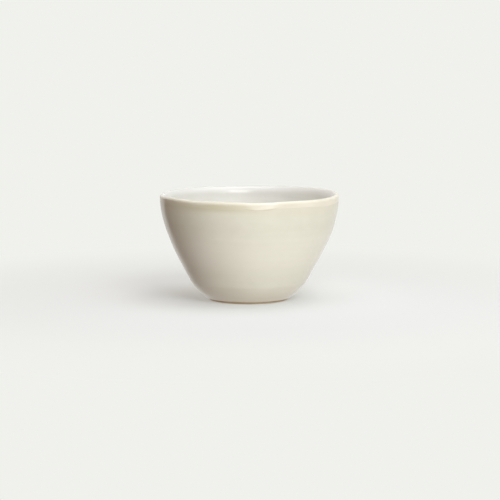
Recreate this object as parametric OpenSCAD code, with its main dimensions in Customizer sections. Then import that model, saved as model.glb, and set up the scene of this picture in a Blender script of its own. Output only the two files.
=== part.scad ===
// Latte bowl: a hand-thrown stoneware bowl with no handle, on a low turned foot ring.
// The body is one piece of fired clay, and the glaze on it is four coats, each a thin shell.
// The bowl stands at the origin with +Z up, and the foot ring rests on the plane z = 0.

/* [Bowl] */
// Diameter at the lip, over the glaze
rim_diameter = 126; // [108:1:150]
// Height from the table to the crest of the lip, over the glaze
bowl_height = 74.5; // [60:0.5:95]
// Width of the clay lip, from its outside in to where it runs into the wall
lip_width = 4.6; // [3.8:0.1:5.6]
// Radius of the outside edge of the lip
lip_edge_radius = 1.4; // [1:0.1:2]
// Height over which the inside of the lip eases down into the wall
lip_fall = 5; // [4:0.5:8]

/* [Outside of the wall] */
// Diameter of the clay at the belly, where the wall has turned upwards
belly_diameter = 82; // [70:1:92]
// Height of the belly above the table
belly_height = 14; // [12:0.5:18]
// Angle of the wall above level at the belly
belly_angle = 63; // [54:1:70]
// Reach of the curve from the belly down towards the foot
belly_reach_down = 4; // [2:0.5:6]
// Reach of the curve from the belly up towards the lip
belly_reach_up = 15; // [8:1:24]
// Reach of the outside curve down from the lip, which makes the upper wall upright
lip_reach = 22; // [12:1:30]

/* [Inside of the wall] */
// Thickness of the clay at the middle of the floor
floor_thickness = 6; // [4.5:0.1:8]
// Distance from the outside of the foot in to the level middle of the floor
floor_inset = 10; // [7:0.5:20]
// Distance from the belly in to where the inside turns up from the floor
belly_inset = 4; // [2:0.5:10]
// Angle of the inside below the lip, away from upright
inside_lip_angle = 10; // [4:1:16]
// Reach of the inside curve down from the lip
inside_lip_reach = 24; // [14:1:28]

/* [Foot] */
// Diameter of the foot ring
foot_diameter = 56; // [48:1:62]
// Height of the foot ring, from the table to the wall
foot_height = 1.5; // [1.2:0.1:3]
// Angle above level at which the wall leaves the foot
foot_angle = 26; // [15:1:40]
// Reach of the outside curve out of the foot
foot_reach = 4; // [2:0.5:6]
// Width of the foot ring
foot_ring_width = 5; // [3.5:0.5:8]
// Depth of the recess inside the foot ring
recess_depth = 2.2; // [1.6:0.1:3.5]
// Radius of the corner between the foot and the wall
foot_corner_radius = 0.6; // [0.3:0.1:0.8]
// Radius of the corner between the foot ring and the recess
recess_corner_radius = 1; // [0.5:0.1:1.5]
// Radius of the edges that the foot ring stands on
foot_edge_radius = 0.5; // [0.3:0.1:0.8]

/* [Glaze] */
// Thickness of each coat
glaze_thickness = 0.4; // [0.2:0.1:0.6]
// Height of the rim coat on the outside, down from the crest of the lip
rim_coat_outside = 4.5; // [3:0.5:10]
// Height of the rim coat on the inside, down from the crest of the lip
rim_coat_inside = 1.2; // [0.8:0.1:2.5]

/* [Hidden] */
$fn = 128;

// Steps along each stretch of the section, and halvings in the search for a height
wall_steps = 24;
belly_steps = 8;
rim_coat_steps = 4;
lip_steps = 10;
corner_steps = 6;
search_steps = 24;

foot_radius = foot_diameter / 2;
recess_radius = foot_radius - foot_ring_width;
floor_radius = foot_radius - floor_inset;
floor_level = recess_depth + floor_thickness;
outside_radius = rim_diameter / 2 - glaze_thickness;
lip_crest = [outside_radius - lip_edge_radius, bowl_height - glaze_thickness];
lip_level = lip_crest.y - lip_edge_radius;
lip_foot = [outside_radius - lip_width, lip_crest.y - lip_fall];

// Centres of the round corners of the section
lip_centre = [lip_crest.x, lip_level];
foot_corner = [foot_radius + foot_corner_radius, foot_height - foot_corner_radius * cos(foot_angle)];
recess_corner = [recess_radius - recess_corner_radius, recess_depth - recess_corner_radius];
ring_outer_edge = [foot_radius - foot_edge_radius, foot_edge_radius];
ring_inner_edge = [recess_radius + foot_edge_radius, foot_edge_radius];

// The shares of the width and of the fall of the lip that its handles take
crest_share = 0.4;
fall_share = 0.5;

// The curves of the wall, each a cubic with its two ends and two handles
foot_way = [cos(foot_angle), sin(foot_angle)];
belly_way = [cos(belly_angle), sin(belly_angle)];
inside_way = [sin(inside_lip_angle), cos(inside_lip_angle)];
wall_root = [foot_corner.x - foot_corner_radius * sin(foot_angle), foot_height];
belly = [belly_diameter / 2, belly_height];
belly_curve = [
    wall_root,
    wall_root + foot_reach * foot_way,
    belly - belly_reach_down * belly_way,
    belly
];
outside_curve = [
    belly,
    belly + belly_reach_up * belly_way,
    [outside_radius, lip_level - lip_reach],
    [outside_radius, lip_level]
];
inside_lip_curve = [
    lip_crest,
    [lip_crest.x - crest_share * (lip_crest.x - lip_foot.x), lip_crest.y],
    lip_foot + fall_share * lip_fall * inside_way,
    lip_foot
];
inside_curve = [
    lip_foot,
    lip_foot - inside_lip_reach * inside_way,
    [belly.x - belly_inset, floor_level],
    [floor_radius, floor_level]
];

function curve_point(curve, u) =
    pow(1 - u, 3) * curve[0] + 3 * u * pow(1 - u, 2) * curve[1]
    + 3 * u * u * (1 - u) * curve[2] + pow(u, 3) * curve[3];

function curve_way(curve, u) =
    pow(1 - u, 2) * (curve[1] - curve[0]) + 2 * u * (1 - u) * (curve[2] - curve[1])
    + u * u * (curve[3] - curve[2]);

// The share of a curve that lies before the place where it passes a height
function share_at_height(curve, height, low = 0, high = 1, steps = search_steps) =
    let (middle = (low + high) / 2)
    let (rising = curve[3].y > curve[0].y)
    let (is_below = curve_point(curve, middle).y < height)
    steps == 0 ? middle
    : is_below == rising ? share_at_height(curve, height, middle, high, steps - 1)
    : share_at_height(curve, height, low, middle, steps - 1);

// A station is a point on the surface of the clay with the angle of the outward normal there.
// A stretch that goes on from another leaves out its own first station.
function along_curve(curve, from, to, steps, first = 1) = [
    for (i = [first : steps])
        let (u = from + (to - from) * i / steps)
        let (way = curve_way(curve, u))
        concat(curve_point(curve, u), atan2(way.y, way.x) - 90)
];

function along_arc(centre, radius, from, to, steps, first = 0) = [
    for (i = [first : steps])
        let (angle = from + (to - from) * i / steps)
        concat(centre + radius * [cos(angle), sin(angle)], angle)
];

// A hollow corner curves the other way, so its normal points at its centre
function along_hollow(centre, radius, from, to, steps) = [
    for (station = along_arc(centre, radius, from, to, steps))
        [station.x, station.y, station.z + 180]
];

// The glazed surface, from the foot over the lip to the middle of the floor
outside_share = share_at_height(outside_curve, bowl_height - rim_coat_outside);
inside_share = share_at_height(inside_lip_curve, bowl_height - rim_coat_inside);
outer_skin = concat(
    along_curve(belly_curve, 0, 1, belly_steps, first = 0),
    along_curve(outside_curve, 0, outside_share, wall_steps)
);
rim_skin = concat(
    along_curve(outside_curve, outside_share, 1, rim_coat_steps),
    along_arc(lip_centre, lip_edge_radius, 0, 90, lip_steps, first = 1),
    along_curve(inside_lip_curve, 0, inside_share, rim_coat_steps)
);
inner_skin = concat(
    along_curve(inside_lip_curve, inside_share, 1, lip_steps),
    along_curve(inside_curve, 0, 1, wall_steps),
    [[0, floor_level, 90]]
);
skin = concat(outer_skin, rim_skin, inner_skin);
outer_skin_end = len(outer_skin) - 1;
rim_skin_end = outer_skin_end + len(rim_skin);
inner_skin_end = rim_skin_end + len(inner_skin);

// The glazed surface under the floor, from its middle to the foot ring
base_skin = concat(
    [[0, recess_depth, -90]],
    along_hollow(recess_corner, recess_corner_radius, 90, 0, corner_steps)
);

// The bare foot ring, from the recess round to the corner under the wall
bare_ring = concat(
    along_arc(ring_inner_edge, foot_edge_radius, 180, 270, corner_steps),
    along_arc(ring_outer_edge, foot_edge_radius, 270, 360, corner_steps),
    along_hollow(foot_corner, foot_corner_radius, 180, 90 + foot_angle, corner_steps)
);

function on_clay(station) = [station.x, station.y];

function on_glaze(station) = on_clay(station) + glaze_thickness * [cos(station.z), sin(station.z)];

// One coat of glaze over the stations of a surface, from the first to the last
module coat(stations, first, last) {
    back = [for (i = [first : last]) on_clay(stations[i])];
    face = [for (i = [last : -1 : first]) on_glaze(stations[i])];
    rotate_extrude()
        polygon(concat(back, face));
}

// The thrown and turned clay: wall, floor and foot ring in one piece
module clay_body() {
    glazed_part = [for (i = [1 : inner_skin_end]) skin[i]];
    color([0.80, 0.71, 0.58])
        rotate_extrude()
            polygon([for (station = concat(base_skin, bare_ring, glazed_part)) on_clay(station)]);
}

// The cream coat on the outside, from the bare foot up to the rim coat
module outer_glaze() {
    color([0.90, 0.88, 0.81])
        coat(skin, 0, outer_skin_end);
}

// The warmer coat where the two dips overlap on the lip
module rim_glaze() {
    color([0.94, 0.90, 0.80])
        coat(skin, outer_skin_end, rim_skin_end);
}

// The white liner on the inside of the wall and on the floor
module inner_glaze() {
    color([0.93, 0.93, 0.91])
        coat(skin, rim_skin_end, inner_skin_end);
}

// The cream coat in the recess under the floor
module base_glaze() {
    color([0.90, 0.88, 0.81])
        coat(base_skin, 0, len(base_skin) - 1);
}

clay_body();
outer_glaze();
rim_glaze();
inner_glaze();
base_glaze();
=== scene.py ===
"""Dresses the latte bowl: thrown clay, poured glazes, a plain floor, soft light and the camera.

Lengths are metres in the frame of the solids: +Z up, the foot ring on z = 0, the photographed side at -Y.
A turn is an angle round the bowl from +X, so 180 degrees is its left and 270 degrees its front.
"""
import math

import bpy
import numpy as np
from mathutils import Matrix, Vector


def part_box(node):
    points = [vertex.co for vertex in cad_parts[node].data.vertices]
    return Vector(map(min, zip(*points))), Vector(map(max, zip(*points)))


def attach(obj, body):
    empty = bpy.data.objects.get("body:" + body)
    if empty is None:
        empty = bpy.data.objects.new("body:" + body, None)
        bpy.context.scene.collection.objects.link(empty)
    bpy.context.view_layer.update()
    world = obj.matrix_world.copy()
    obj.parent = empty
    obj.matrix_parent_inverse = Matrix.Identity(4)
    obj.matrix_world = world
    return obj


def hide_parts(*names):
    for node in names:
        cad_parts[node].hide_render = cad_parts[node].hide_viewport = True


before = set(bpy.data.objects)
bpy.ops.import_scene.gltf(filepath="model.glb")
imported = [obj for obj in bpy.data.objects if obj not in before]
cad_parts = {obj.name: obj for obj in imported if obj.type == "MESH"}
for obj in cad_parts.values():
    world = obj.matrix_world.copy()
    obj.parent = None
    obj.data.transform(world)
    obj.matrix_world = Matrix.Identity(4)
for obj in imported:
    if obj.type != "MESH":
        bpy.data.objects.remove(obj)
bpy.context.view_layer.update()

# Sizes that the solids give
RIM_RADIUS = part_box("rim_glaze")[1].x
BOWL_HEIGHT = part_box("rim_glaze")[1].z
RECESS_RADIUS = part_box("base_glaze")[1].x
RECESS_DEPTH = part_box("base_glaze")[1].z
FLOOR_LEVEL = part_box("inner_glaze")[0].z

# The section of the clay as the solids have it; a reach is the length of a curve's handle
GLAZE = 0.0004
LIP_WIDTH = 0.0046
LIP_EDGE = 0.0014
LIP_FALL = 0.005
LIP_REACH = 0.022
CREST_SHARE = 0.4
FALL_SHARE = 0.5
INSIDE_LIP_SLOPE = math.radians(10)
INSIDE_LIP_REACH = 0.024
BELLY_RADIUS = 0.041
BELLY_HEIGHT = 0.014
BELLY_SLOPE = math.radians(63)
BELLY_REACH_DOWN = 0.004
BELLY_REACH_UP = 0.015
BELLY_INSET = 0.004
FLOOR_RADIUS = 0.018
FOOT_RADIUS = 0.028
FOOT_HEIGHT = 0.0015
FOOT_SLOPE = math.radians(26)
FOOT_REACH = 0.004
FOOT_CORNER = 0.0006
FOOT_EDGE = 0.0005
RECESS_CORNER = 0.001
CREST_RADIUS = RIM_RADIUS - GLAZE - LIP_EDGE

# The rim coat: its depth below the crest, and its lower edge outside, which sags and beads at the front
BAND_OUTSIDE = 0.0045
BAND_INSIDE = 0.0012
BAND_TILT = 0.10
BAND_WAVE = 0.07
BAND_INSIDE_WAVE = 0.10
BAND_SAG = 0.0010
SAG_TURN = math.radians(278)
SAG_REACH = math.radians(9)
BEAD_HEIGHT = 0.00058
BEAD_WIDTH = 0.0036
BEAD_CROWN = 0.33 * BEAD_WIDTH
BEAD_EVEN = 0.05
BEAD_WAVE = 0.025

# The lower edge of the outside coat, which rolls over above the foot
FOOT_LINE = 0.0006
FOOT_LINE_WAVE = 0.45
FOOT_BEAD = 0.0011
FOOT_ROLL = 0.00018

# How the soft clay moved; a wave is a count of crests, the turn of one of them in degrees, and a height
LIP_WAVES = ((1, 50, 0.00034), (2, 20, 0.00012), (3, 29, 0.00030))
FRONT_RISE = 0.0003
LEFT_RISE = 0.00075
LEFT_TURN = math.radians(211)
LEFT_REACH = math.radians(15)
DIP_DEPTH = 0.0008
DIP_TURN = math.radians(274)
DIP_REACH = math.radians(13)
OVAL_WAVES = ((2, 50, 0.0035), (3, 0, 0.0015))
OVAL_GROWTH = 1.5
LEAN = 0.0006
FULL_LEVEL = 0.047
FULL_REACH = 0.012
FULL_EVEN = 0.0002
FULL_SIDE = 0.0004

# Marks of the fingers on the wall, with the lengths over which they come and go, and of the turning tool
RING_PITCH = 0.0052
RING_DEPTH = 0.000018
GROOVE_PITCH = 0.0155
GROOVE_DEPTH = 0.00007
MARKS_START = (0.002, 0.010)
MARKS_STOP = (0.062, 0.072)
SPIRAL_DEPTH = 0.00008
SPIRAL_START = (0.002, 0.012)
SPIRAL_STOP = (0.062, 0.080)
TURNING_PITCH = 0.0011
TURNING_DEPTH = 0.00003
TURNING_SWAY = 0.6
TURNING_SWAY_LENGTH = 0.002

# How finely the section is drawn and the shells are cut
CURVE_SAMPLES = 600
FLAT_SAMPLES = 300
RING_SAMPLES = 150
ARC_SAMPLES = 75
TURNS = 288
CLAY_ROWS = 60
BACK_ROWS = 36
SAME_POINT = 1e-9
ON_AXIS = 1e-7
SHARP_EDGE = math.radians(50)

turn = np.linspace(0, 2 * math.pi, TURNS, endpoint=False)


# The section


def cubic(start, first_handle, second_handle, end):
    """Points along one curve of the section."""
    u = np.linspace(0, 1, CURVE_SAMPLES)[:, None]
    near = (1 - u) ** 3 * np.array(start) + 3 * u * (1 - u) ** 2 * np.array(first_handle)
    far = 3 * u * u * (1 - u) * np.array(second_handle) + u**3 * np.array(end)
    return near + far


def arc(centre, radius, start, stop):
    """Points along one round corner of the section, between two angles in degrees."""
    angle = np.radians(np.linspace(start, stop, ARC_SAMPLES))
    return np.array(centre) + radius * np.stack([np.cos(angle), np.sin(angle)], 1)


class SectionLine:
    """A line through the section with the outward normal along it, found by its length from the start."""

    def __init__(self, *stretches):
        points = np.concatenate(stretches)
        steps = np.linalg.norm(np.diff(points, axis=0), axis=1)
        points = points[np.concatenate([[True], steps > SAME_POINT])]
        steps = np.linalg.norm(np.diff(points, axis=0), axis=1)
        self.points = points
        self.along = np.concatenate([[0], np.cumsum(steps)])
        self.length = self.along[-1]
        way = np.gradient(points, self.along, axis=0)
        way /= np.linalg.norm(way, axis=1)[:, None]
        self.normals = np.stack([way[:, 1], -way[:, 0]], 1)

    def at(self, along):
        """Radius, height and the two parts of the normal."""
        columns = np.concatenate([self.points, self.normals], 1).T
        return [np.interp(along, self.along, column) for column in columns]

    def top(self):
        """How far along the line its highest point is."""
        return self.along[np.argmax(self.points[:, 1])]

    def rising_to(self, height):
        """How far along the line it first climbs to a height."""
        climb = slice(0, np.argmax(self.points[:, 1]) + 1)
        return np.interp(height, self.points[climb, 1], self.along[climb])

    def falling_to(self, height):
        """How far along the line it comes down to a height after its top."""
        fall = slice(np.argmax(self.points[:, 1]), None)
        return np.interp(-height, -self.points[fall, 1], self.along[fall])


def glazed_line():
    """The clay from the foot up the outside, over the lip and down to the middle of the floor."""
    outside = RIM_RADIUS - GLAZE
    crest = np.array([CREST_RADIUS, BOWL_HEIGHT - GLAZE])
    lip_level = crest[1] - LIP_EDGE
    lip_foot = np.array([outside - LIP_WIDTH, crest[1] - LIP_FALL])
    crest_handle = (crest[0] - CREST_SHARE * (crest[0] - lip_foot[0]), crest[1])
    lip_handle = (outside, lip_level - LIP_REACH)
    inside_way = np.array([math.sin(INSIDE_LIP_SLOPE), math.cos(INSIDE_LIP_SLOPE)])
    root = np.array([FOOT_RADIUS + FOOT_CORNER * (1 - math.sin(FOOT_SLOPE)), FOOT_HEIGHT])
    foot_way = np.array([math.cos(FOOT_SLOPE), math.sin(FOOT_SLOPE)])
    belly = np.array([BELLY_RADIUS, BELLY_HEIGHT])
    belly_way = np.array([math.cos(BELLY_SLOPE), math.sin(BELLY_SLOPE)])
    floor_edge = (FLOOR_RADIUS, FLOOR_LEVEL)
    floor_handle = (BELLY_RADIUS - BELLY_INSET, FLOOR_LEVEL)
    return SectionLine(
        cubic(root, root + FOOT_REACH * foot_way, belly - BELLY_REACH_DOWN * belly_way, belly),
        cubic(belly, belly + BELLY_REACH_UP * belly_way, lip_handle, (outside, lip_level)),
        arc((crest[0], lip_level), LIP_EDGE, 0, 90),
        cubic(crest, crest_handle, lip_foot + FALL_SHARE * LIP_FALL * inside_way, lip_foot),
        cubic(lip_foot, lip_foot - INSIDE_LIP_REACH * inside_way, floor_handle, floor_edge),
        np.linspace(floor_edge, (0, FLOOR_LEVEL), FLAT_SAMPLES),
    )


def recess_line():
    """The clay under the floor, from its middle out to the foot ring."""
    corner_radius = RECESS_RADIUS - RECESS_CORNER
    return SectionLine(
        np.linspace((0, RECESS_DEPTH), (corner_radius, RECESS_DEPTH), FLAT_SAMPLES),
        arc((corner_radius, RECESS_DEPTH - RECESS_CORNER), RECESS_CORNER, 90, 0),
    )


def ring_line():
    """The bare foot ring, from the recess round to the corner under the wall."""
    inner = RECESS_RADIUS + FOOT_EDGE
    outer = FOOT_RADIUS - FOOT_EDGE
    corner_level = FOOT_HEIGHT - FOOT_CORNER * math.cos(FOOT_SLOPE)
    return SectionLine(
        arc((inner, FOOT_EDGE), FOOT_EDGE, 180, 270),
        np.linspace((inner, 0), (outer, 0), RING_SAMPLES),
        arc((outer, FOOT_EDGE), FOOT_EDGE, 270, 360),
        arc((FOOT_RADIUS + FOOT_CORNER, corner_level), FOOT_CORNER, 180, 90 + math.degrees(FOOT_SLOPE)),
    )


skin = glazed_line()
recess = recess_line()
foot_ring = ring_line()


# What the hand leaves uneven

# What the sines of a ripple are divided by, so that most of it stays within one either way
RIPPLE_SCALE = 1.5


def ripple(first, last, seed):
    """A small uneven wave round the bowl, mostly within one either way and at most about two."""
    phases = np.random.default_rng(seed).uniform(0, 2 * math.pi, last - first + 1)
    sines = [np.sin(k * turn + phase) / k for k, phase in zip(range(first, last + 1), phases)]
    return first * sum(sines) / RIPPLE_SCALE


def waves(crests):
    """The sum of some even waves round the bowl."""
    return sum(height * np.cos(count * (turn - math.radians(peak))) for count, peak, height in crests)


def bell(value, middle, reach, power=2):
    """One at the middle, and falling softly to nothing past the reach on either side."""
    return np.exp(-(((value - middle) / reach) ** power))


def ease(value, low, high):
    """Zero below low, one above high, and a soft step between."""
    share = np.clip((value - low) / (high - low), 0, 1)
    return share * share * (3 - 2 * share)


def between(value, start, stop):
    """One from start to stop, each a pair of values over which it comes or goes."""
    return ease(value, *start) * (1 - ease(value, *stop))


# Where each coat of glaze starts and stops round the bowl, as lengths along the glazed line
foot_edge = FOOT_LINE * (1 + FOOT_LINE_WAVE * ripple(3, 14, seed=4))
sag = bell(turn, SAG_TURN, SAG_REACH, power=4)
band_share = 1 + BAND_TILT * np.cos(turn) + BAND_WAVE * ripple(3, 16, seed=11)
band_outside = skin.rising_to(BOWL_HEIGHT - (BAND_OUTSIDE * band_share + BAND_SAG * sag))
band_inside = skin.falling_to(BOWL_HEIGHT - BAND_INSIDE * (1 + BAND_INSIDE_WAVE * ripple(2, 12, seed=7)))

# How high the bead of the rim coat stands round the bowl, as a share of its height at the sag
bead_share = BEAD_EVEN + BEAD_WAVE * ripple(2, 20, seed=23) + sag


def handmade(radius, height):
    """Places on the true form, moved with the soft clay: the lip waves, and the wall is out of round."""
    share = np.clip(height / BOWL_HEIGHT, 0, None)
    lip_wave = (
        waves(LIP_WAVES)
        + FRONT_RISE * (0.5 - 0.5 * np.sin(turn)) ** 2
        + LEFT_RISE * bell(turn, LEFT_TURN, LEFT_REACH)
        - DIP_DEPTH * bell(turn, DIP_TURN, DIP_REACH)
    )
    full = bell(height, FULL_LEVEL, FULL_REACH) * (FULL_EVEN + FULL_SIDE * np.cos(turn))
    wide = radius * (1 + share**OVAL_GROWTH * waves(OVAL_WAVES)) + full
    x = wide * np.cos(turn) + LEAN * share
    y = wide * np.sin(turn)
    z = height + share**2 * lip_wave
    return np.stack(np.broadcast_arrays(x, y, z), -1)


def stray(along, level, slanted):
    """How far the fingers strayed from an even climb, by two waves that are each a size and a length."""
    return level[0] * np.sin(along / level[1]) + slanted[0] * np.sin(along / slanted[1] + turn)


def pressure(along, share, length, turns, phase=0):
    """How hard the fingers pressed, with a share that comes and goes along the wall and round it."""
    return 1 - share + share * np.sin(along / length + turns * turn + phase)


def thrown_marks(along):
    """Relief left by the fingers outside: broad grooves with finer rings, climbing as one spiral."""
    drift = stray(along, level=(0.5, 0.011), slanted=(0.35, 0.0063))
    grooves = np.sin(2 * math.pi * along / GROOVE_PITCH + turn + drift)
    rings = np.sin(2 * math.pi * along / RING_PITCH + turn + 2 * drift)
    press = pressure(along, share=0.35, length=0.017, turns=2, phase=1.3)
    return between(along, MARKS_START, MARKS_STOP) * press * (GROOVE_DEPTH * grooves + RING_DEPTH * rings)


def spiral_marks(along):
    """Relief inside: one finger spiral from the middle of the floor up the wall, softer near the lip."""
    from_middle = skin.length - along
    drift = stray(from_middle, level=(0.6, 0.009), slanted=(0.4, 0.021))
    spiral = np.sin(2 * math.pi * from_middle / RING_PITCH - turn + drift)
    press = pressure(from_middle, share=0.4, length=0.014, turns=1)
    return SPIRAL_DEPTH * between(from_middle, SPIRAL_START, SPIRAL_STOP) * press * spiral


# Thickness over the clay, at places along a line of the section


def rounded_end(distance, width):
    """How full a coat is near its edge, rising as a quarter round."""
    share = np.clip(distance / width, 0, 1)
    return np.sqrt(1 - (1 - share) ** 2)


def bare(along):
    """No coat at all."""
    return np.zeros_like(along)


def outside_thickness(along):
    """The outside coat, with a full rolled edge above the foot."""
    from_foot = along - foot_edge
    roll = FOOT_ROLL * between(from_foot, (0, FOOT_BEAD), (FOOT_BEAD, 4 * FOOT_BEAD))
    return GLAZE * rounded_end(from_foot, FOOT_BEAD) + roll + thrown_marks(along)


def rim_thickness(along):
    """The rim coat, with a bead along its lower edge outside."""
    from_edge = along - band_outside
    fall = np.clip((BEAD_WIDTH - from_edge) / (BEAD_WIDTH - BEAD_CROWN), 0, 1)
    return GLAZE + BEAD_HEIGHT * ease(from_edge, 0, BEAD_CROWN) * fall * bead_share


def inside_thickness(along):
    """The liner, with the finger spiral in it."""
    return GLAZE + spiral_marks(along)


def recess_thickness(along):
    """The coat in the recess, with a rounded edge at the foot ring."""
    return GLAZE * rounded_end(recess.length - along, GLAZE)


def turned_lines(along):
    """Fine lines that the turning tool cut into the foot ring."""
    sway = TURNING_SWAY * np.sin(turn + along / TURNING_SWAY_LENGTH)
    return TURNING_DEPTH * (np.sin(2 * math.pi * along / TURNING_PITCH + sway) - 1)


# Meshes


def shares(*counts_and_stops):
    """Steps from zero to one, given as pairs of a count and the share where its stretch stops."""
    steps = [np.zeros(1)]
    start = 0
    for count, stop in counts_and_stops:
        steps.append(np.linspace(start, stop, count + 1)[1:])
        start = stop
    return np.concatenate(steps)


def rows_along(line, start, stop, steps, thickness):
    """Rings of points on a line of the section, lifted off the clay by a thickness."""
    rows = []
    for share in steps:
        along = np.broadcast_to(start + (stop - start) * share, turn.shape)
        radius, height, out, up = line.at(along)
        lift = thickness(along)
        rows.append(handmade(radius + out * lift, height + up * lift))
    return rows


def coat(line, start, stop, face, back, thickness):
    """Rings over the face of a coat of glaze, and then back along the clay that carries it."""
    return rows_along(line, start, stop, face, thickness) + rows_along(line, start, stop, back, bare)


def strip(low, low_count, high, high_count):
    """Faces between two rings, each given by its first point and its count, which is one on the axis."""
    faces = []
    for here in range(TURNS):
        there = (here + 1) % TURNS
        if low_count == 1:
            faces.append((low, high + there, high + here))
        elif high_count == 1:
            faces.append((low + here, low + there, high))
        else:
            faces.append((low + here, low + there, high + there, high + here))
    return faces


def add_object(name, data):
    """An object in the scene that shows a mesh, a lamp or a camera."""
    made = bpy.data.objects.new(name, data)
    bpy.context.scene.collection.objects.link(made)
    return made


def shell(name, rows):
    """A closed mesh through rings of points; a ring on the axis becomes one point."""
    points = []
    rings = []
    for row in rows:
        on_axis = np.ptp(row[:, 0]) < ON_AXIS and np.ptp(row[:, 1]) < ON_AXIS
        ring = row[:1] if on_axis else row
        rings.append((len(points), len(ring)))
        points.extend(ring.tolist())
    faces = []
    for (low, low_count), (high, high_count) in zip(rings, rings[1:] + rings[:1]):
        if max(low_count, high_count) > 1:
            faces += strip(low, low_count, high, high_count)
    mesh = bpy.data.meshes.new(name)
    mesh.from_pydata(points, [], faces)
    mesh.shade_smooth()
    mesh.set_sharp_from_angle(angle=SHARP_EDGE)
    return add_object(name, mesh)


def dress(name, rows, finish, node):
    """One finished piece that stands for a node of the solids."""
    piece = shell(name, rows)
    piece.data.materials.append(finish.owner)
    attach(piece, "root")
    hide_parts(node)


# Finishes


def paint(red, green, blue):
    """A colour as it looks, from 0 to 255, as the light that a shader takes."""
    def linear(value):
        share = value / 255
        return share / 12.92 if share <= 0.04045 else ((share + 0.055) / 1.055) ** 2.4
    return (linear(red), linear(green), linear(blue), 1)


class Term:
    """A socket of a node tree that takes part in Python arithmetic."""

    def __init__(self, finish, socket):
        self.finish = finish
        self.socket = socket

    def math(self, operation, first, second):
        """A Math node on two values."""
        return self.finish.node("ShaderNodeMath", {"operation": operation}, {0: first, 1: second})

    def __add__(self, other):
        return self.math("ADD", self, other)

    __radd__ = __add__

    def __sub__(self, other):
        return self.math("SUBTRACT", self, other)

    def __rsub__(self, other):
        return self.math("SUBTRACT", other, self)

    def __mul__(self, other):
        return self.math("MULTIPLY", self, other)

    __rmul__ = __mul__

    def __lt__(self, other):
        return self.math("LESS_THAN", self, other)

    def __or__(self, other):
        return self.math("MAXIMUM", self, other)

    def step(self, low, high):
        """A soft step from zero at low to one at high."""
        return self.finish.node(
            "ShaderNodeMapRange",
            {"interpolation_type": "SMOOTHSTEP"},
            {"Value": self, "From Min": low, "From Max": high},
        )

    def wander(self, noise, reach):
        """The value moved either way by a noise, so that an edge drawn from it wanders."""
        return self + (noise - 0.5) * reach


class Finish:
    """The nodes of one material or of the world."""

    # Sockets of a Mix node for colours, by number because some of its other sockets have the same names
    MASK = 0
    BELOW = 6
    ABOVE = 7
    MIXED = 2

    def __init__(self, owner):
        owner.use_nodes = True
        self.owner = owner
        self.tree = owner.node_tree
        self.tree.nodes.clear()

    def node(self, kind, settings=None, values=None, output=0):
        """Any node: its settings are set first, then its sockets take values or links."""
        made = self.tree.nodes.new(kind)
        for name, setting in (settings or {}).items():
            setattr(made, name, setting)
        for name, value in (values or {}).items():
            if isinstance(value, Term):
                self.tree.links.new(value.socket, made.inputs[name])
            else:
                made.inputs[name].default_value = value
        return Term(self, made.outputs[output]) if made.outputs else None

    def vector_math(self, operation, values, output=0):
        """A Vector Math node."""
        return self.node("ShaderNodeVectorMath", {"operation": operation}, values, output)

    def place(self):
        """Where a point of the piece is, in metres."""
        return self.node("ShaderNodeTexCoord", output="Object")

    def height(self, place):
        """How far a place is above the table."""
        return self.node("ShaderNodeSeparateXYZ", values={"Vector": place}, output="Z")

    def stretch(self, place, scales):
        """A place scaled along each axis."""
        return self.vector_math("MULTIPLY", {0: place, 1: scales})

    def along(self, place, way):
        """How far a place lies in one direction."""
        return self.vector_math("DOT_PRODUCT", {0: place, 1: way}, output="Value")

    def radius(self, place):
        """How far a place is from the axis of the bowl."""
        return self.vector_math("LENGTH", {0: self.stretch(place, (1, 1, 0))}, output="Value")

    def noise(self, place, per_metre, detail=2.0, roughness=0.5):
        """A soft noise between zero and one."""
        values = {"Vector": place, "Scale": per_metre, "Detail": detail, "Roughness": roughness}
        return self.node("ShaderNodeTexNoise", values=values)

    def mix(self, mask, below, above):
        """The colour below where the mask is zero and the one above where it is one."""
        values = {self.MASK: mask, self.BELOW: below, self.ABOVE: above}
        return self.node("ShaderNodeMix", {"data_type": "RGBA"}, values, output=self.MIXED)

    def tint(self, body, colour, mask, share):
        """A body with a share of a colour in it where the mask is one."""
        return self.mix(mask * share, body, colour)

    def specks(self, place, per_metre, size, share):
        """A mask of small scattered dots, in a share of the cells, with a size as a share of a cell."""
        settings = {"feature": "F1"}
        values = {"Vector": place, "Scale": per_metre}
        distance = self.node("ShaderNodeTexVoronoi", settings, values, output="Distance")
        chance = self.node("ShaderNodeTexVoronoi", settings, values, output="Color")
        red = self.node("ShaderNodeSeparateColor", values={"Color": chance}, output="Red")
        return (1 - distance.step(0.5 * size, size)) * (red < share)

    def bump(self, relief, depth):
        """A normal that follows a fine relief."""
        values = {"Height": relief, "Distance": depth, "Strength": 1.0}
        return self.node("ShaderNodeBump", values=values, output="Normal")

    def ray(self, kind):
        """One on the rays of one kind."""
        return self.node("ShaderNodeLightPath", output=kind)

    def seen(self):
        """One on the rays that show the backdrop, and zero on those that only carry light."""
        return self.ray("Is Camera Ray") | self.ray("Is Glossy Ray") | self.ray("Is Transmission Ray")

    def glow(self, colour):
        """A shader that shines."""
        return self.node("ShaderNodeEmission", values={"Color": colour})

    def mix_shader(self, mask, below, above):
        """The shader below where the mask is zero and the one above where it is one."""
        return self.node("ShaderNodeMixShader", values={0: mask, 1: below, 2: above})

    def surface(self, **values):
        """Ends a material in one principled shader."""
        named = {name.replace("_", " "): value for name, value in values.items()}
        self.end(self.node("ShaderNodeBsdfPrincipled", values=named))

    def end(self, shader, kind="ShaderNodeOutputMaterial"):
        """The output that a shader feeds."""
        self.node(kind, values={"Surface": shader})


# Colours that two finishes share, and how the glaze and the clay bend light
LINER_WHITE = paint(234, 235, 232)
# The olive of painted shade on the left side, below the lip
PAINTED_SHADE_OLIVE = paint(205, 201, 168)
GLAZE_IOR = 1.5
CLAY_IOR = 1.45

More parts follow.
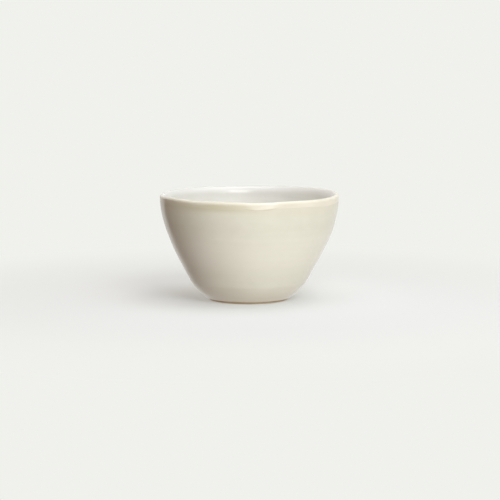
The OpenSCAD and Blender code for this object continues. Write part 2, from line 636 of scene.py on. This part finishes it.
# Stretches that draw a noise out into level bands and into short runs
LEVEL_BANDS = (1, 1, 8)
SHORT_RUNS = (1, 1, 4)

# Heights over which the outside colour changes, each a pair from none to full: the pool above the foot, a
# band of painted light on the lower wall, and near the rim a warmer tone that is also painted shade
CREAM_LEAVES_POOL = (0.003, 0.017)
LIGHT_BAND_STARTS = (0.020, 0.033)
LIGHT_BAND_STOPS = (0.042, 0.056)
RIM_WARMTH_AND_SHADE = (BOWL_HEIGHT - 0.014, BOWL_HEIGHT - 0.005)

# Painted shade below the lip on the left, the side away from the lamps: heights where it starts and stops,
# and distances to the left where it comes and pales
SHADE_STARTS = (BOWL_HEIGHT - 0.0085, BOWL_HEIGHT - 0.0048)
SHADE_STOPS = (BOWL_HEIGHT - 0.0032, BOWL_HEIGHT - 0.0008)
SHADE_COMES = (-0.015, 0.020)
SHADE_PALES = (0.020, 0.060)
SHADE_PALING = 0.6

# Radii over which the rim coat thins outside and turns into the liner inside
RIM_THINS = (CREST_RADIUS + 0.0006, CREST_RADIUS + 0.0016)
RIM_LEAVES_LINER = (CREST_RADIUS - 0.0006, CREST_RADIUS + 0.0012)

# Heights over which the liner leaves its pool on the floor, and over which it turns whiter towards the lip
# as painted light, leaving the wall just below the lip darker
LINER_LEAVES_POOL = (FLOOR_LEVEL, FLOOR_LEVEL + 0.014)
LINER_PAINTED_LIGHT_AT_LIP = (BOWL_HEIGHT - 0.0050, BOWL_HEIGHT - 0.0010)


def new_finish(name):
    """An empty material."""
    return Finish(bpy.data.materials.new(name))


def painted_left_shade(finish, place, clouds):
    """A mask of painted shade below the lip on the left, the side away from the lamps, soft at its edges
    and clear of the crest.
    """
    height = finish.height(place).wander(clouds, reach=0.002)
    leftward = finish.along(place, (-1, 0, 0)).wander(clouds, reach=0.02)
    side = leftward.step(*SHADE_COMES) * (1 - leftward.step(*SHADE_PALES) * SHADE_PALING)
    return (1 - height.step(*SHADE_STOPS)) * height.step(*SHADE_STARTS) * side


def cream_glaze():
    """The outside glaze: cream, clouded, faintly banded by the throwing rings, warmer towards the rim, with
    painted light and shade.
    """
    finish = new_finish("cream_glaze")
    place = finish.place()
    height = finish.height(place)
    clouds = finish.noise(place, per_metre=24, detail=3.0)
    bands = finish.noise(finish.stretch(place, LEVEL_BANDS), per_metre=22, detail=1.5)
    mottle = finish.noise(place, per_metre=150)
    grain = finish.noise(place, per_metre=420)
    level = height.wander(clouds, reach=0.008)
    painted_light_band = level.step(*LIGHT_BAND_STARTS) * (1 - level.step(*LIGHT_BAND_STOPS))
    warmth_and_shade = height.wander(bands, reach=0.006).step(*RIM_WARMTH_AND_SHADE)
    pooled = 1 - level.step(*CREAM_LEAVES_POOL)

    body = finish.mix(clouds.step(0.3, 0.7), paint(225, 226, 210), paint(230, 232, 216))
    body = finish.tint(body, paint(226, 223, 206), bands.step(0.35, 0.8), share=0.4)
    body = finish.tint(body, paint(236, 236, 223), mottle.step(0.3, 0.75), share=0.25)
    # Painted light: a lighter band on the lower wall, which faces down and gets less light
    body = finish.tint(body, paint(240, 240, 227), painted_light_band, share=0.5)
    # Warmer and a little darker near the rim: partly a warm glaze tone, partly painted shade on the top of
    # the wall
    body = finish.tint(body, paint(224, 219, 198), warmth_and_shade, share=0.4)
    # Painted shade: olive and darker below the lip on the left, away from the lamps
    body = finish.tint(body, PAINTED_SHADE_OLIVE, painted_left_shade(finish, place, clouds), share=0.6)
    body = finish.tint(body, paint(215, 209, 190), pooled, share=0.6)

    finish.surface(
        Base_Color=body,
        Roughness=0.12 + bands * 0.06 + mottle * 0.04,
        Normal=finish.bump(mottle + grain * 0.2, depth=0.00004),
        IOR=GLAZE_IOR,
    )
    return finish


def rim_band():
    """The lip, where both glazes meet and thin over the clay: warm, glossy, with painted shade on its left
    side.
    """
    finish = new_finish("rim_band")
    place = finish.place()
    radius = finish.radius(place)
    clouds = finish.noise(place, per_metre=60, detail=3.0)
    runs = finish.noise(finish.stretch(place, SHORT_RUNS), per_metre=150, detail=4.0)
    grain = finish.noise(place, per_metre=520, detail=3.0)
    thin = runs.step(0.4, 0.8) * radius.wander(grain, reach=0.001).step(*RIM_THINS)
    lined = 1 - radius.wander(runs, reach=0.0012).step(*RIM_LEAVES_LINER)

    body = finish.mix(clouds.step(0.35, 0.65), paint(234, 231, 214), paint(237, 234, 218))
    # Painted shade: olive and darker below the lip on the left, away from the lamps
    body = finish.tint(body, PAINTED_SHADE_OLIVE, painted_left_shade(finish, place, clouds), share=0.65)
    body = finish.tint(body, paint(222, 210, 180), thin, share=0.2)
    body = finish.mix(lined, body, LINER_WHITE)

    finish.surface(
        Base_Color=body,
        Roughness=0.18 + runs * 0.08,
        Normal=finish.bump(grain * 0.6 + runs * 0.4, depth=0.00005),
        IOR=GLAZE_IOR,
    )
    return finish


def white_liner():
    """The inside glaze: cool white gloss, a little greyer in bands and where it pools on the floor, and
    painted whiter just under the lip.
    """
    finish = new_finish("white_liner")
    place = finish.place()
    height = finish.height(place)
    clouds = finish.noise(place, per_metre=30, detail=3.0)
    bands = finish.noise(finish.stretch(place, LEVEL_BANDS), per_metre=30)
    grain = finish.noise(place, per_metre=460, detail=3.0)
    pooled = 1 - height.wander(clouds, reach=0.012).step(*LINER_LEAVES_POOL)

    body = finish.mix(clouds.step(0.3, 0.7), paint(226, 226, 220), paint(230, 230, 225))
    body = finish.tint(body, paint(220, 220, 213), bands.step(0.45, 0.75), share=0.5)
    body = finish.tint(body, paint(217, 221, 220), pooled, share=0.45)
    # Painted light and shade: whiter in the last few millimetres below the crest, darker below that
    body = finish.mix(height.step(*LINER_PAINTED_LIGHT_AT_LIP), body, LINER_WHITE)

    finish.surface(
        Base_Color=body,
        Roughness=0.14 + bands * 0.11,
        Normal=finish.bump(grain, depth=0.00003),
        IOR=GLAZE_IOR,
    )
    return finish


def bare_clay():
    """The unglazed foot: buff stoneware with grit, iron specks and fine lines from the turning tool."""
    finish = new_finish("bare_clay")
    place = finish.place()
    across = {"X": finish.radius(place), "Y": 0.0, "Z": finish.height(place)}
    clouds = finish.noise(place, per_metre=90, detail=4.0)
    grit = finish.noise(place, per_metre=1400, detail=4.0, roughness=0.7)
    lines = finish.noise(finish.node("ShaderNodeCombineXYZ", values=across), per_metre=2600)
    dots = finish.specks(place, per_metre=900, size=0.16, share=0.2)

    body = finish.mix(clouds.step(0.3, 0.7), paint(200, 184, 157), paint(213, 199, 174))
    body = finish.tint(body, paint(226, 209, 182), grit.step(0.5, 0.75), share=0.5)
    body = finish.tint(body, paint(176, 152, 118), lines.step(0.5, 0.7), share=0.35)
    body = finish.tint(body, paint(110, 84, 58), dots, share=0.7)

    finish.surface(
        Base_Color=body,
        Roughness=0.72 + grit * 0.2,
        Normal=finish.bump(grit * 0.7 + lines * 0.5, depth=0.00012),
        IOR=CLAY_IOR,
    )
    return finish


# The pieces


def clay_rows():
    """Rings round the clay: the recess, the foot ring, the outside, the lip and the inside."""
    even = np.linspace(0, 1, CLAY_ROWS)
    below_lip = skin.top() - 2 * LIP_WIDTH
    past_lip = skin.top() + 2 * LIP_WIDTH
    return (
        rows_along(recess, 0, recess.length, shares((6, 0.9), (8, 1)), bare)
        + rows_along(foot_ring, 0, foot_ring.length, even[1:-1], turned_lines)
        + rows_along(skin, 0, below_lip, even, bare)
        + rows_along(skin, below_lip, past_lip, even[1:], bare)
        + rows_along(skin, past_lip, skin.length, even[1:], bare)
    )


def add_bowl():
    """The clay body and its four coats; a coat that thins to nothing at an end has no back row there."""
    cream = cream_glaze()
    back = np.linspace(1, 0, BACK_ROWS)
    outside_face = shares((12, 0.018), (130, 1))
    rim_face = shares((14, 0.2), (40, 1))
    inside_face = shares((129, 1))
    recess_face = shares((24, 0.94), (16, 1))
    recess_back = shares((24, 0.94), (8, 1))[-2::-1]

    outside = coat(skin, foot_edge, band_outside, outside_face, back[:-1], outside_thickness)
    rim = coat(skin, band_outside, band_inside, rim_face, back, rim_thickness)
    inside = coat(skin, band_inside, skin.length, inside_face, back, inside_thickness)
    under = coat(recess, 0, recess.length, recess_face, recess_back, recess_thickness)

    dress("thrown_clay", clay_rows(), bare_clay(), "clay_body")
    dress("outside_coat", outside, cream, "outer_glaze")
    dress("rim_coat", rim, rim_band(), "rim_glaze")
    dress("inside_coat", inside, white_liner(), "inner_glaze")
    dress("recess_coat", under, cream, "base_glaze")


# Floor, light and camera

# What the camera sees of the floor: shadow near the bowl, fading into the backdrop further out
BACKDROP = paint(240, 241, 236)
FLOOR_REACH = 6.0
FLOOR_FADES = (0.10, 0.32)
FLOOR_GLOW = 0.35

# The floor's glow on rays that only carry light, which lights the bowl in place of bounce light: bright
# ahead on the lamps' side and behind, and dim at the left, which shades that side; each edge is a pair of
# distances from the bowl, from none to full, in the direction before it
GLOW_LIGHT_DIM = (0.11, 0.065, 0.05, 1)
GLOW_LIGHT_BRIGHT = (1.02, 0.95, 0.91, 1)
LIGHT_WAY = (0.60, -0.80, 0)
LIGHT_EDGE = (-0.07, 0.10)
REAR_WAY = (0.35, 0.94, 0)
REAR_EDGE = (0.0, 0.05)

# Where the glaze mirrors the backdrop in the floor; elsewhere it mirrors the floor's glow, a painted
# reflection that is dim at the left
MIRROR_WAY = (0.77, 0.64, 0)
MIRROR_EDGE = (-0.065, -0.017)

# The weak warm fill, which comes from the side away from the lamps
FILL_BEHIND = (0.31, 0.21, 0.165, 1)
FILL_AHEAD = (0.01, 0.01, 0.01, 1)
FILL_EDGE = (-0.8, 0.8)

LAMP_DISTANCE = 1.3

# The view: the width is what the picture takes in at the bowl, and the sensor is in millimetres
SENSOR_WIDTH = 36
VIEW_DISTANCE = 1.4
VIEW_WIDTH = 0.3532
VIEW_AIM = Vector((0.0011, 0, 0.0346))
VIEW_ELEVATION = math.radians(7.1)


def floor_finish():
    """Pale to the camera, a painted reflection in the glaze that is dim at the left and pale at the right
    and behind, and a glow that lights the bowl.
    """
    finish = new_finish("floor")
    place = finish.place()
    grain = finish.noise(place, per_metre=6)
    pale = finish.tint(paint(229, 233, 235), paint(227, 231, 233), grain, share=0.3)
    ahead = finish.along(place, LIGHT_WAY).step(*LIGHT_EDGE)
    rear = finish.along(place, REAR_WAY).step(*REAR_EDGE)
    behind = finish.along(place, MIRROR_WAY).step(*MIRROR_EDGE)
    fading = finish.radius(place).step(*FLOOR_FADES) * (1 - FLOOR_GLOW) + FLOOR_GLOW

    backdrop = finish.glow(BACKDROP)
    shadowed = finish.node("ShaderNodeBsdfDiffuse", values={"Color": pale})
    direct = finish.mix_shader(fading, shadowed, backdrop)
    # Painted reflection: the glaze mirrors this glow, dim at the left, where the backdrop is not behind it
    dim = finish.glow(finish.mix(ahead, GLOW_LIGHT_DIM, GLOW_LIGHT_BRIGHT))
    mirrored = finish.mix_shader(behind, dim, backdrop)
    picture = finish.mix_shader(finish.ray("Is Camera Ray"), mirrored, direct)
    # The floor glows on rays that carry light and so lights the bowl, dim at the left
    glow_light = finish.glow(finish.mix(ahead | rear, GLOW_LIGHT_DIM, GLOW_LIGHT_BRIGHT))
    finish.end(finish.mix_shader(finish.seen(), glow_light, picture))
    return finish


def add_floor():
    """A plain pale floor."""
    square = ((-1, -1), (1, -1), (1, 1), (-1, 1))
    mesh = bpy.data.meshes.new("floor")
    mesh.from_pydata([(x * FLOOR_REACH, y * FLOOR_REACH, 0) for x, y in square], [], [(0, 1, 2, 3)])
    mesh.materials.append(floor_finish().owner)
    floor = add_object("floor", mesh)


def add_world():
    """The fill, with the pale backdrop behind the bowl."""
    world = bpy.data.worlds.new("studio")
    bpy.context.scene.world = world
    finish = Finish(world)
    way = finish.node("ShaderNodeTexCoord", output="Generated")
    fill = finish.mix(finish.along(way, LIGHT_WAY).step(*FILL_EDGE), FILL_BEHIND, FILL_AHEAD)
    colour = finish.mix(finish.seen(), fill, BACKDROP)
    light = finish.node("ShaderNodeBackground", values={"Color": colour, "Strength": 1.0})
    finish.end(light, kind="ShaderNodeOutputWorld")


def add_lamp(name, azimuth, elevation, size, watts, glint=True):
    """A soft lamp that faces the bowl, with or without a glint in the glaze.

    Azimuth is in degrees, 0 at the camera and growing to the right.
    """
    data = bpy.data.lights.new(name, "AREA")
    data.shape = "RECTANGLE"
    data.size, data.size_y = size
    data.energy = watts
    side = math.radians(azimuth)
    lift = math.radians(elevation)
    way = Vector((math.sin(side) * math.cos(lift), -math.cos(side) * math.cos(lift), math.sin(lift)))
    lamp = add_object(name, data)
    lamp.visible_glossy = glint
    lamp.location = way * LAMP_DISTANCE + Vector((0, 0, BOWL_HEIGHT / 2))
    lamp.rotation_euler = way.to_track_quat("Z", "Y").to_euler()


def add_camera():
    """The photograph's view: nearly level, a little above the lip, square on."""
    data = bpy.data.cameras.new("camera")
    data.sensor_width = SENSOR_WIDTH
    data.lens = SENSOR_WIDTH * VIEW_DISTANCE / VIEW_WIDTH
    camera = add_object("camera", data)
    back = Vector((0, -math.cos(VIEW_ELEVATION), math.sin(VIEW_ELEVATION)))
    camera.location = VIEW_AIM + VIEW_DISTANCE * back
    camera.rotation_euler = (math.pi / 2 - VIEW_ELEVATION, 0, 0)
    bpy.context.scene.camera = camera


add_camera()
add_floor()
add_world()
add_lamp("key", azimuth=17, elevation=36.8, size=(0.62, 0.50), watts=7.0)
add_lamp("window", azimuth=35, elevation=30, size=(1.0, 1.0), watts=2.5)
add_lamp("side", azimuth=75, elevation=65, size=(1.0, 1.0), watts=5.2)
add_lamp("top", azimuth=0, elevation=85, size=(1.0, 1.0), watts=5.8)
add_lamp("back", azimuth=195, elevation=15, size=(1.6, 0.8), watts=6.0, glint=False)
add_bowl()
bpy.context.scene.view_settings.view_transform = "Standard"
